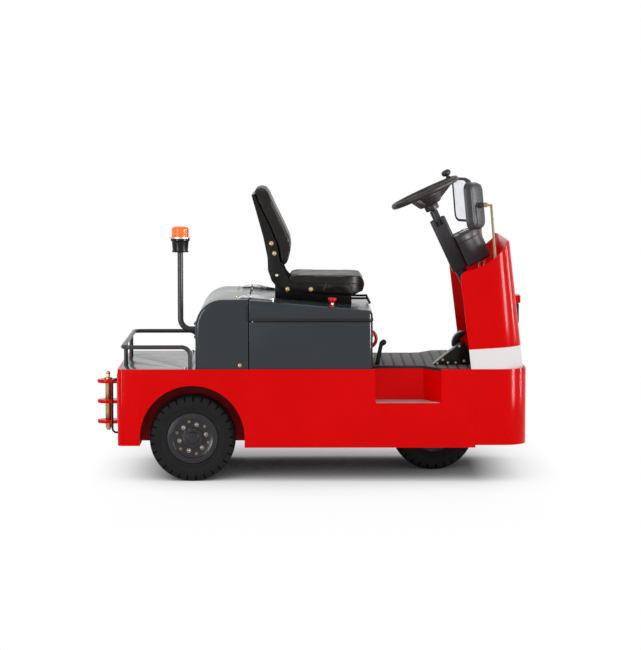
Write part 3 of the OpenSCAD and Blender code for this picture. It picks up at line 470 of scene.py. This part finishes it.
# Hitch, tow pin and guard bars at the tail.
# Three flame-cut plates welded to a back plate take a drawbar on a plated pin.
# The back plate is bolted to the tail, and the bent bars are welded to it.
dress(red_enamel, "hitch", edge=0.0015)
dress(yellow_zinc, "tow_pin", edge=0.0008)
black_enamel = finish("black_enamel", enamel, (0.009, 0.0082, 0.0078), 0.24, 0.0001, specular=0.14)
dress(black_enamel, "tail_guards", edge=0)
plate_low, plate_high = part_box("hitch")
tail_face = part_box("tail_plate")[0].x
hitch_places = [
    ((tail_face - 0.008, y, z), (-1, 0, 0))
    for y in (-0.072, 0.072)
    for z in (plate_low.z + 0.014, plate_high.z - 0.04)
]
bolts("hitch_bolts", bright_zinc, "chassis", hitch_places, 0.009)

# Cowl: one sheet bent round the driver's feet, red enamel with a white reflective band at its foot.
# The two headlamps hang on its front under short red visors.
red_banded = finish("red_banded", enamel, RED, 0.18, 0.00005, GLOSS)
two_tone_and_shade(red_banded, (-0.06, 0, 1), 0.585, (0.80, 0.78, 0.77), middle=(0.82, 0, 0.6))
dress(red_banded, "front_cowl", edge=0.0015)
dress(red_enamel, "lamp_visors", edge=0.001)
plastic_skin = surface("plastic_skin", grain=1200, mottle=30, shade=0.06, rough=0.05)
black_plastic = finish("black_plastic", plastic_skin, (0.024, 0.023, 0.026), 0.36, 0.0001, specular=0.2)
dress(black_plastic, "headlamps", edge=0.003)
lamp_glass = finish(
    "lamp_glass", plastic_skin, (0.92, 0.93, 0.94), 0.08, 0.0001,
    shader={"Transmission Weight": 0.8, "IOR": 1.45},
)
LAMP_FACE, LAMP_Y, LAMP_Z, LENS_R = 1.0095, 0.210, 0.7845, 0.039
bm = bmesh.new()
for side in (-1, 1):
    middle = Vector((LAMP_FACE, side * LAMP_Y, LAMP_Z))
    lens = [
        (0, -0.0055), (LENS_R, -0.0055), (LENS_R, -0.002),
        (LENS_R * 0.7, 0.001), (LENS_R * 0.35, 0.0022), (0, 0.0025),
    ]
    revolve(bm, [middle + Vector((x, 0, r)) for r, x in lens], middle, (1, 0, 0), 48)
bmesh.ops.remove_doubles(bm, verts=bm.verts, dist=1e-6)
piece("lamp_lenses", bm, lamp_glass, "chassis")

# Steering column and instrument pod: grey moulded covers over a steel column.
# The wheel is moulded in brown-black rubbery plastic, with a knob for turning it with one hand.
pod_grey = finish("pod_grey", plastic_skin, (0.042, 0.039, 0.044), 0.38, 0.0001, specular=0.16)
dress(pod_grey, "steering_column", "dash_pod", edge=0.004)
wheel_brown = finish("wheel_brown", plastic_skin, (0.042, 0.034, 0.033), 0.42, 0.0002, specular=0.16)
dress(wheel_brown, "steering_wheel", edge=0.001)
TILT = math.radians(25)
WHEEL = Vector((0.5685, 0, 1.357))
COLUMN_UP = Vector((-math.sin(TILT), 0, math.cos(TILT)))
COLUMN_FRONT = Vector((math.cos(TILT), 0, math.sin(TILT)))


def drum(bm, place, axis, radius, height, taper=1.0):
    """A round block standing on a place along an axis."""
    bmesh.ops.create_cone(
        bm, cap_ends=True, segments=40, radius1=radius, radius2=radius * taper, depth=height,
        matrix=facing(place, axis) @ Matrix.Translation((0, 0, height / 2)),
    )


def on_column(forward, left, drop):
    """A place in the column's own frame: forward and left of its axis, and down from the wheel's rim."""
    return WHEEL + COLUMN_FRONT * forward + Vector((0, left, 0)) - COLUMN_UP * drop


bm = bmesh.new()
drum(bm, on_column(0, 0, 0.0905), COLUMN_UP, 0.0348, 0.0245)
piece("hub_collar", bm, pod_grey, "steering_wheel", edge=0.001)
bm = bmesh.new()
drum(bm, on_column(0, 0, 0.0025), COLUMN_UP, 0.027, 0.006, taper=0.86)
piece("horn_cap", bm, black_plastic, "steering_wheel", edge=0.001)
PANEL, PANEL_AHEAD, DIAL_LEFT, KEY_LEFT = 0.2545, 0.095, -0.038, 0.045
bm = bmesh.new()
drum(bm, on_column(PANEL_AHEAD, DIAL_LEFT, PANEL), COLUMN_UP, 0.031, 0.006)
drum(bm, on_column(PANEL_AHEAD, KEY_LEFT, PANEL), COLUMN_UP, 0.016, 0.005)
piece("panel_bezels", bm, black_plastic, "chassis", edge=0.001)
dial_white = finish("dial_white", plastic_skin, (0.6, 0.6, 0.58), 0.3, 0.00005)
bm = bmesh.new()
drum(bm, on_column(PANEL_AHEAD, DIAL_LEFT, PANEL - 0.006), COLUMN_UP, 0.026, 0.0008)
piece("gauge_dial", bm, dial_white, "chassis")
bm = bmesh.new()
drum(bm, on_column(PANEL_AHEAD, KEY_LEFT, PANEL - 0.005), COLUMN_UP, 0.010, 0.006)
piece("key_switch", bm, bright_zinc, "chassis", edge=0.0006)

# Pedals, parking lever and battery plug: small controls on the floor and on the battery case.
# Black steel, and a red plastic loop that pulls the battery's plug.
dress(black_enamel, "pedals", "parking_lever", edge=0.001)
red_plastic = finish("red_plastic", plastic_skin, (0.6, 0.004, 0.006), 0.35, 0.0001, DULL)
dress(red_plastic, "battery_plug", "stop_button", edge=0.001)
pedal_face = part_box("pedals")[0].y
pedal_heads = [
    (0.617, 0.5485), (0.643, 0.566), (0.722, 0.632), (0.668, 0.552), (0.705, 0.552), (0.745, 0.560),
]
pedal_places = [((x, pedal_face, z), (0, -1, 0)) for x, z in pedal_heads]
bolts("pedal_bolts", yellow_zinc, "chassis", pedal_places, 0.0045)
low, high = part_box("stop_button")
LID_SLOPE = math.radians(4.9)
LID_UP = Vector((math.sin(LID_SLOPE), 0, math.cos(LID_SLOPE)))
neck_foot = Vector(((low.x + high.x) / 2 - 0.0012, (low.y + high.y) / 2, low.z + 0.0065))
bm = bmesh.new()
drum(bm, neck_foot, LID_UP, 0.0086, 0.013)
piece("button_neck", bm, nut_steel, "lid", edge=0.0006)

# Battery cells: lead cells that stand side by side in the steel tray, under the lid.
# Each has a moulded black lid, a yellow filler cap and two lead posts.
# Flat straps join the posts of neighbours in a row.
cell_black = finish("cell_black", plastic_skin, (0.020, 0.020, 0.022), 0.42, 0.0001, DULL)
cap_yellow = finish("cap_yellow", plastic_skin, (0.60, 0.38, 0.02), 0.4, 0.0001, DULL)
lead_grey = finish("lead_grey", casting, (0.20, 0.20, 0.21), 0.45, 0.0002, shader={"Metallic": 0.6})
CELL_ROWS, CELL_COLUMNS = 3, 8
TRAY_WALL, CELL_GAP, CELL_HIGH = 0.014, 0.004, 0.030
low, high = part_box("battery")
cell_x = (high.x - low.x - 2 * TRAY_WALL) / CELL_ROWS
cell_y = (high.y - low.y - 2 * TRAY_WALL) / CELL_COLUMNS
lid_top = high.z + CELL_HIGH
UP = Vector((0, 0, 1))
post_x = cell_x * 0.33


def plan_box(bm, middle, length, width, bottom, top):
    """A block about a place in plan, between two heights."""
    x, y = length / 2, width / 2
    slab(bm, rectangle(middle.x - x, middle.x + x, middle.y - y, middle.y + y), bottom, top)


cells, caps, posts = bmesh.new(), bmesh.new(), bmesh.new()
for row in range(CELL_ROWS):
    for column in range(CELL_COLUMNS):
        x = low.x + TRAY_WALL + (row + 0.5) * cell_x
        cell = Vector((x, low.y + TRAY_WALL + (column + 0.5) * cell_y, lid_top))
        plan_box(cells, cell, cell_x - CELL_GAP, cell_y - CELL_GAP, high.z - 0.001, lid_top)
        drum(caps, cell, UP, 0.018, 0.013, taper=0.85)
        for end in (-1, 1):
            drum(posts, cell + Vector((end * post_x, 0, 0)), UP, 0.011, 0.011)
        if column:
            end = 1 if (row + column) % 2 else -1
            joined = cell + Vector((end * post_x, -cell_y / 2, 0))
            plan_box(posts, joined, 0.018, cell_y, lid_top + 0.003, lid_top + 0.007)
piece("battery_cells", cells, cell_black, "chassis", edge=0.003)
piece("cell_caps", caps, cap_yellow, "chassis", edge=0.001)
piece("cell_straps", posts, lead_grey, "chassis", edge=0.0008)

# Seat: two foam pads in black vinyl on a steel frame, bolted to the battery lid.
# Each pad is foam in a sewn cover, so it swells between its seams.
vinyl_skin = surface("vinyl_skin", grain=650, mottle=14, shade=0.12, rough=0.06)
seat_vinyl = finish("seat_vinyl", vinyl_skin, (0.015, 0.0128, 0.0118), 0.36, 0.0003, specular=0.12)
dress(black_enamel, "seat_base", "seat_frame", edge=0.0015)
VOXEL, SEAT_INSET, SWELL_CAP = 0.006, 0.003, 0.006


def applied(obj):
    """Replaces an object's mesh by what its modifiers make of it."""
    graph = bpy.context.evaluated_depsgraph_get()
    mesh = bpy.data.meshes.new_from_object(obj.evaluated_get(graph))
    obj.modifiers.clear()
    obj.data = mesh


def points_of(mesh):
    """The places of a mesh's vertices, as rows."""
    found = np.empty(len(mesh.vertices) * 3)
    mesh.vertices.foreach_get("co", found)
    return found.reshape(-1, 3)


def inflate(obj):
    """Blows a pad up like foam in its cover, each point by no more than the cap."""
    start = points_of(obj.data)
    cloth = obj.modifiers.new("cloth", "CLOTH")
    cloth.settings.use_pressure = True
    cloth.settings.uniform_pressure_force = 4
    cloth.settings.effector_weights.gravity = 0
    scene = bpy.context.scene
    for step in range(1, 21):
        scene.frame_set(step)
    applied(obj)
    scene.frame_set(1)
    moved = points_of(obj.data) - start
    length = np.linalg.norm(moved, axis=1, keepdims=True)
    moved *= np.minimum(1, SWELL_CAP / np.maximum(length, 1e-9))
    obj.data.vertices.foreach_set("co", (start + moved).ravel())


def upholster(name, node, body):
    """A foam pad in the place of its plain solid."""
    bm = bmesh.new()
    bm.from_mesh(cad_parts[node].data)
    bmesh.ops.remove_doubles(bm, verts=bm.verts, dist=1e-5)
    bmesh.ops.recalc_face_normals(bm, faces=bm.faces)
    mesh = bpy.data.meshes.new(name)
    bm.to_mesh(mesh)
    bm.free()
    obj = bpy.data.objects.new(name, mesh)
    bpy.context.scene.collection.objects.link(obj)
    voxels = obj.modifiers.new("voxels", "REMESH")
    voxels.mode = "VOXEL"
    voxels.voxel_size = VOXEL
    shrink = obj.modifiers.new("shrink", "DISPLACE")
    shrink.strength = -SEAT_INSET
    shrink.mid_level = 0
    relax = obj.modifiers.new("relax", "SMOOTH")
    relax.iterations = 6
    applied(obj)
    inflate(obj)
    mesh = obj.data
    mesh.materials.clear()
    mesh.materials.append(seat_vinyl)
    finer = obj.modifiers.new("finer", "SUBSURF")
    finer.levels = finer.render_levels = 1
    mesh.shade_smooth()
    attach(obj, body)
    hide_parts(node)
    return obj


def ring_edges(bm, ring):
    """The edges of a closed ring of vertices, made where there are none."""
    pairs = zip(ring, ring[1:] + ring[:1])
    return [bm.edges.get(pair) or bm.edges.new(pair) for pair in pairs]


def cord(bm, path, radius):
    """A round cord through these places, closed at both ends."""
    turn = [2 * math.pi * k / 10 for k in range(10)]
    circle = [Vector((radius * math.cos(a), radius * math.sin(a), 0)) for a in turn]
    rings = []
    for i, place in enumerate(path):
        ahead = (path[min(i + 1, len(path) - 1)] - path[max(i - 1, 0)]).normalized()
        stand = facing(place, ahead)
        rings.append([bm.verts.new(stand @ point) for point in circle])
    for first, second in zip(rings, rings[1:]):
        bmesh.ops.bridge_loops(bm, edges=ring_edges(bm, first) + ring_edges(bm, second))
    bm.faces.new(rings[0])
    bm.faces.new(rings[-1])


def seam_line(pad, side, places):
    """Where a line of (x, z) places, seen from one side, meets a pad."""
    graph = bpy.context.evaluated_depsgraph_get()
    tree = BVHTree.FromObject(pad, graph)
    path = []
    for x, z in places:
        hit = tree.ray_cast(Vector((x, side, z)), Vector((0, -side, 0)))[0]
        if hit:
            path.append(hit)
    return path


cushion_pad = upholster("cushion_pad", "seat_cushion", "lid")
upholster("back_pad", "seat_back", "lid")
low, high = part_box("seat_cushion")
SEAM_STEP = 0.012
along = [low.x + 0.03 + i * SEAM_STEP for i in range(int((high.x - low.x - 0.05) / SEAM_STEP))]
seam = [(x, high.z - 0.034 - 0.02 * (x - low.x)) for x in along]
bm = bmesh.new()
for side in (-1, 1):
    cord(bm, seam_line(cushion_pad, side, seam), 0.0028)
piece("seat_piping", bm, seat_vinyl, "lid")
seat_places = [(-0.1785, 1.122), (-0.1645, 1.074), (-0.1015, 0.903), (0.0105, 0.902)]
frame_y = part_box("seat_frame")[1].y
seat_bolts = [((x, side * frame_y, z), (0, side, 0)) for side in (-1, 1) for x, z in seat_places]
bolts("seat_bolts", yellow_zinc, "lid", seat_bolts, 0.0075)
PIVOT = (-0.1535, 0.969)
bosses, caps = bmesh.new(), bmesh.new()
for side in (-1, 1):
    out = Vector((0, side, 0))
    pivot = Vector((PIVOT[0], side * frame_y, PIVOT[1]))
    drum(bosses, pivot, out, 0.026, 0.004)
    drum(bosses, pivot + out * 0.004, out, 0.016, 0.004, taper=0.9)
    drum(caps, pivot + out * 0.008, out, 0.0075, 0.003, taper=0.8)
piece("pivot_bosses", bosses, black_enamel, "lid", edge=0.001)
piece("pivot_caps", caps, bright_zinc, "lid", edge=0.0006)

# Lid seals: a rubber edge strip pushed over the lid's lower edge, and one on the drive cover beside it.
# Extruded brown-black rubber, which closes the gap over the battery.
seal_rubber = finish("seal_rubber", rubber_skin, (0.018, 0.013, 0.011), 0.5, 0.0002, DULL)
SEAL, SEAL_HIGH, CORNER = 0.0025, 0.013, 0.020
low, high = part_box("battery_lid")


def lid_path(out):
    """The lid's lower edge in plan, from its right rear corner round the front to the left one."""
    x, y, r = high.x + out, high.y + out, CORNER + out
    rear = low.x + 0.006
    return [(rear, -y)] + quarter(x - r, r - y, r, -90, 8) + quarter(x - r, y - r, r, 0, 8) + [(rear, y)]


bm = bmesh.new()
slab(bm, lid_path(SEAL) + lid_path(-0.0005)[::-1], low.z - 0.002, low.z + SEAL_HIGH - 0.002)
piece("lid_seal", bm, seal_rubber, "lid", edge=0.0008)
cover_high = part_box("drive_cover")[1]
bm = bmesh.new()
for side in (-1, 1):
    inner, outer = side * (cover_high.y - 0.0004), side * (cover_high.y + 0.0016)
    strip = rectangle(cover_high.x - 0.007, cover_high.x + 0.001, inner, outer)
    slab(bm, strip, low.z, high.z - 0.022)
piece("cover_seal", bm, seal_rubber, "chassis", edge=0.0006)

# Lid hinges: two cast leaves, polished, that let the lid and the seat tip back.
# Each turns on a pin through the knuckles bolted to the drive cover.
polished = finish("polished", plate_skin, (0.58, 0.59, 0.60), 0.16, 0.00003, shader={"Metallic": 1.0})
dress(polished, "hinge_bases", "hinge_leaves", edge=0.0015)

# Mirrors: black moulded shells on plated arms, with flat silvered glass.
# The glass lies in a black rubber rim that fills the shell's rear face.
arm_gold = finish("arm_gold", plate_skin, (0.34, 0.25, 0.12), 0.32, 0.00005, specular=0.12)
dress(arm_gold, "mirror_arms", edge=0)
dress(pod_grey, "mirrors", edge=0)
silvered = finish("silvered", blasted, (0.78, 0.79, 0.82), 0.06, 0.0, shader={"Metallic": 1.0})
MIRROR = Matrix.Translation((0.7875, 0.430, 1.309))
MIRROR @= Matrix.Rotation(math.radians(31), 4, "Z") @ Matrix.Rotation(math.radians(-6), 4, "Y")
UPRIGHT = Matrix(((0, 0, 1, 0), (1, 0, 0, 0), (0, 1, 0, 0), (0, 0, 0, 1)))


def mirror_faces(half_width, half_height, corner, back, front):
    """A flat plate with round corners on the rear face of each mirror."""
    outline = []
    for i, (side_y, side_z) in enumerate(((1, 1), (-1, 1), (-1, -1), (1, -1))):
        y, z = side_y * (half_width - corner), side_z * (half_height - corner)
        outline += quarter(y, z, corner, 90 * i, 8)
    bm = bmesh.new()
    slab(bm, outline, back, front, MIRROR @ UPRIGHT)
    slab(bm, outline, back, front, Matrix.Diagonal((1, -1, 1, 1)) @ MIRROR @ UPRIGHT)
    return bm


rims = mirror_faces(0.0645, 0.106, 0.0325, -0.0188, -0.0172)
piece("mirror_rims", rims, black_enamel, "chassis")
glasses = mirror_faces(0.0575, 0.099, 0.0265, -0.0190, -0.0180)
piece("mirror_glasses", glasses, silvered, "chassis")

# Beacon: an orange lens clamped to a black base on a bent pole behind the driver.
# A bright clip ring holds the lens down.
dress(black_enamel, "beacon_base", edge=0.002)
# The lens glows faintly of its own, though the beacon is not lit: a painted glow that stands for light
# shining through the orange plastic.
glowing_lens_orange = finish(
    "glowing_lens_orange", plastic_skin, (1.0, 0.15, 0.003), 0.2, 0.0001,
    shader={"Emission Color": (1.0, 0.13, 0.002, 1), "Emission Strength": 0.25},
)
dress(glowing_lens_orange, "beacon_lens", edge=0.0008)
low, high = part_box("beacon_lens")
middle = (low + high) / 2
r = (high.x - low.x) / 2
bm = bmesh.new()
band = [(r + 0.0002, 0.0003), (r + 0.004, 0.0003), (r + 0.004, 0.0075), (r + 0.0002, 0.0075)]
revolve(bm, [(middle.x + reach, middle.y, low.z + z) for reach, z in band], middle, UP, 48)
ear = Matrix.Translation((middle.x - r - 0.010, middle.y, low.z + 0.004))
bmesh.ops.create_cube(bm, size=1.0, matrix=ear @ Matrix.Diagonal((0.016, 0.010, 0.004, 1)))
piece("beacon_clip", bm, bright_zinc, "chassis", edge=0.0005)
cover_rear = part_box("drive_cover")[0].x
bracket = [((cover_rear - 0.005, middle.y, z), (-1, 0, 0)) for z in (0.743, 0.679)]
bolts("bracket_bolts", black_enamel, "chassis", bracket, 0.0065)

# Cover fasteners: hexagon bolts that hold the drive cover, the deck and the battery case.
# Yellow plated steel, each on a washer on the sheet.
case_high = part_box("battery_case")[1]
cover_places = [((-0.3265, side * cover_high.y, 0.558), (0, side, 0)) for side in (-1, 1)]
cover_places += [((-0.3485, y, cover_high.z), (0, 0, 1)) for y in (-0.325, 0.325)]
cover_places += [((case_high.x, side * 0.43, z), (1, 0, 0)) for side in (-1, 1) for z in (0.596, 0.696)]
deck_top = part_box("rear_deck")[1].z
cover_places += [((-0.585, y, deck_top), (0, 0, 1)) for y in (-0.445, 0.445)]
bolts("cover_bolts", yellow_zinc, "chassis", cover_places, 0.0065)

# Studio: a pale paper floor and an even white surround, which lights the object from all sides.
# The floor fades to white away from the object. Near it, the floor is mostly a glow that follows ambient
# occlusion, so its shadow is a painted shadow worked out from the object's shape, not cast by the lamps.
# Three upright panels show as streaks in the gloss and add no other light.
FLOOR_RADIUS = 9.0
bm = bmesh.new()
bmesh.ops.create_circle(bm, cap_ends=True, segments=96, radius=FLOOR_RADIUS)
mesh = bpy.data.meshes.new("floor")
bm.to_mesh(mesh)
bm.free()
floor = bpy.data.objects.new("floor", mesh)
bpy.context.scene.collection.objects.link(floor)
paper = bpy.data.materials.new("paper")
paper.use_nodes = True
mesh.materials.append(paper)
tree = paper.node_tree
nodes, links = tree.nodes, tree.links
nodes.clear()
place = nodes.new("ShaderNodeTexCoord")
distance = nodes.new("ShaderNodeVectorMath")
distance.operation = "LENGTH"
links.new(place.outputs["Object"], distance.inputs[0])
fade = spread(tree, distance.outputs["Value"], 1.3, 2.6, 0.0, 1.0)
along = nodes.new("ShaderNodeSeparateXYZ")
links.new(place.outputs["Object"], along.inputs[0])
beyond = arithmetic(tree, "ABSOLUTE", arithmetic(tree, "SUBTRACT", along.outputs["X"], 0.08), 0)
fade = arithmetic(tree, "MAXIMUM", fade, spread(tree, beyond, 0.72, 1.15, 0.0, 1.0))
sight = nodes.new("ShaderNodeLightPath")
seen = arithmetic(tree, "MAXIMUM", sight.outputs["Is Camera Ray"], sight.outputs["Is Glossy Ray"])
seen = arithmetic(tree, "MAXIMUM", seen, sight.outputs["Is Transmission Ray"])
share = arithmetic(tree, "MULTIPLY", fade, seen)
matt = nodes.new("ShaderNodeBsdfDiffuse")
matt.inputs["Color"].default_value = (0.9, 0.9, 0.9, 1)
# Painted shadow: the glow follows the occlusion along a normal leaned to the front, so the shade falls under
# and behind the object.
open_sky = nodes.new("ShaderNodeAmbientOcclusion")
open_sky.samples = 16
open_sky.inputs["Distance"].default_value = 1.8
lean = nodes.new("ShaderNodeCombineXYZ")
for socket, value in zip(lean.inputs, (-0.05, -0.46, 0.886)):
    socket.default_value = value
links.new(lean.outputs[0], open_sky.inputs["Normal"])
even = nodes.new("ShaderNodeEmission")
links.new(spread(tree, open_sky.outputs["AO"], 0.14, 0.94, 0.0, 1.0), even.inputs["Color"])
soft = nodes.new("ShaderNodeMixShader")
soft.inputs[0].default_value = 0.92
links.new(matt.outputs[0], soft.inputs[1])
links.new(even.outputs[0], soft.inputs[2])
white = nodes.new("ShaderNodeEmission")
white.inputs["Strength"].default_value = 1.0
blend = nodes.new("ShaderNodeMixShader")
links.new(share, blend.inputs[0])
links.new(soft.outputs[0], blend.inputs[1])
links.new(white.outputs[0], blend.inputs[2])
out = nodes.new("ShaderNodeOutputMaterial")
links.new(blend.outputs[0], out.inputs["Surface"])

world = bpy.data.worlds.new("surround")
bpy.context.scene.world = world
world.use_nodes = True
air = world.node_tree.nodes["Background"]
air.inputs["Color"].default_value = (1, 1, 1, 1)
air.inputs["Strength"].default_value = 1.0


def reflector(name, place, target, width, height, power):
    """A bright upright panel that shows in gloss and adds no light to matt faces."""
    lamp = bpy.data.lights.new(name, "AREA")
    lamp.shape = "RECTANGLE"
    lamp.size = width
    lamp.size_y = height
    lamp.energy = power
    obj = bpy.data.objects.new(name, lamp)
    obj.location = place
    obj.rotation_euler = (Vector(target) - Vector(place)).to_track_quat("-Z", "Y").to_euler()
    obj.visible_diffuse = False
    bpy.context.scene.collection.objects.link(obj)


reflector("tail_panel", (-4.3, -5.2, 1.6), (-0.9, -0.4, 0.6), 0.9, 4.0, 450)
reflector("nose_panel", (5.9, -3.9, 1.6), (0.95, -0.4, 0.8), 1.1, 4.0, 1300)
reflector("front_panel", (7.0, 0.75, 1.6), (0.95, -0.4, 0.8), 0.4, 4.0, 500)

# Camera: a long lens far off on the right side, a little above the driver's head, as in the photograph.
# Its focal length is given in pixels of a frame that is 650 high.
CAMERA_PLACE = (-0.0335, -12.88, 1.790)
CAMERA_DOWN, CAMERA_RIGHT = 4.80, 0.41
FOCUS, FRAME_HEIGHT, SENSOR = 2637, 650, 36.0
camera = bpy.data.cameras.new("camera")
camera.sensor_width = SENSOR
camera.lens = FOCUS * SENSOR / FRAME_HEIGHT
camera.clip_end = 100
eye = bpy.data.objects.new("camera", camera)
eye.location = CAMERA_PLACE
eye.rotation_euler = (math.radians(90 - CAMERA_DOWN), 0, math.radians(-CAMERA_RIGHT))
bpy.context.scene.collection.objects.link(eye)
bpy.context.scene.camera = eye
bpy.context.scene.view_settings.view_transform = "Standard"
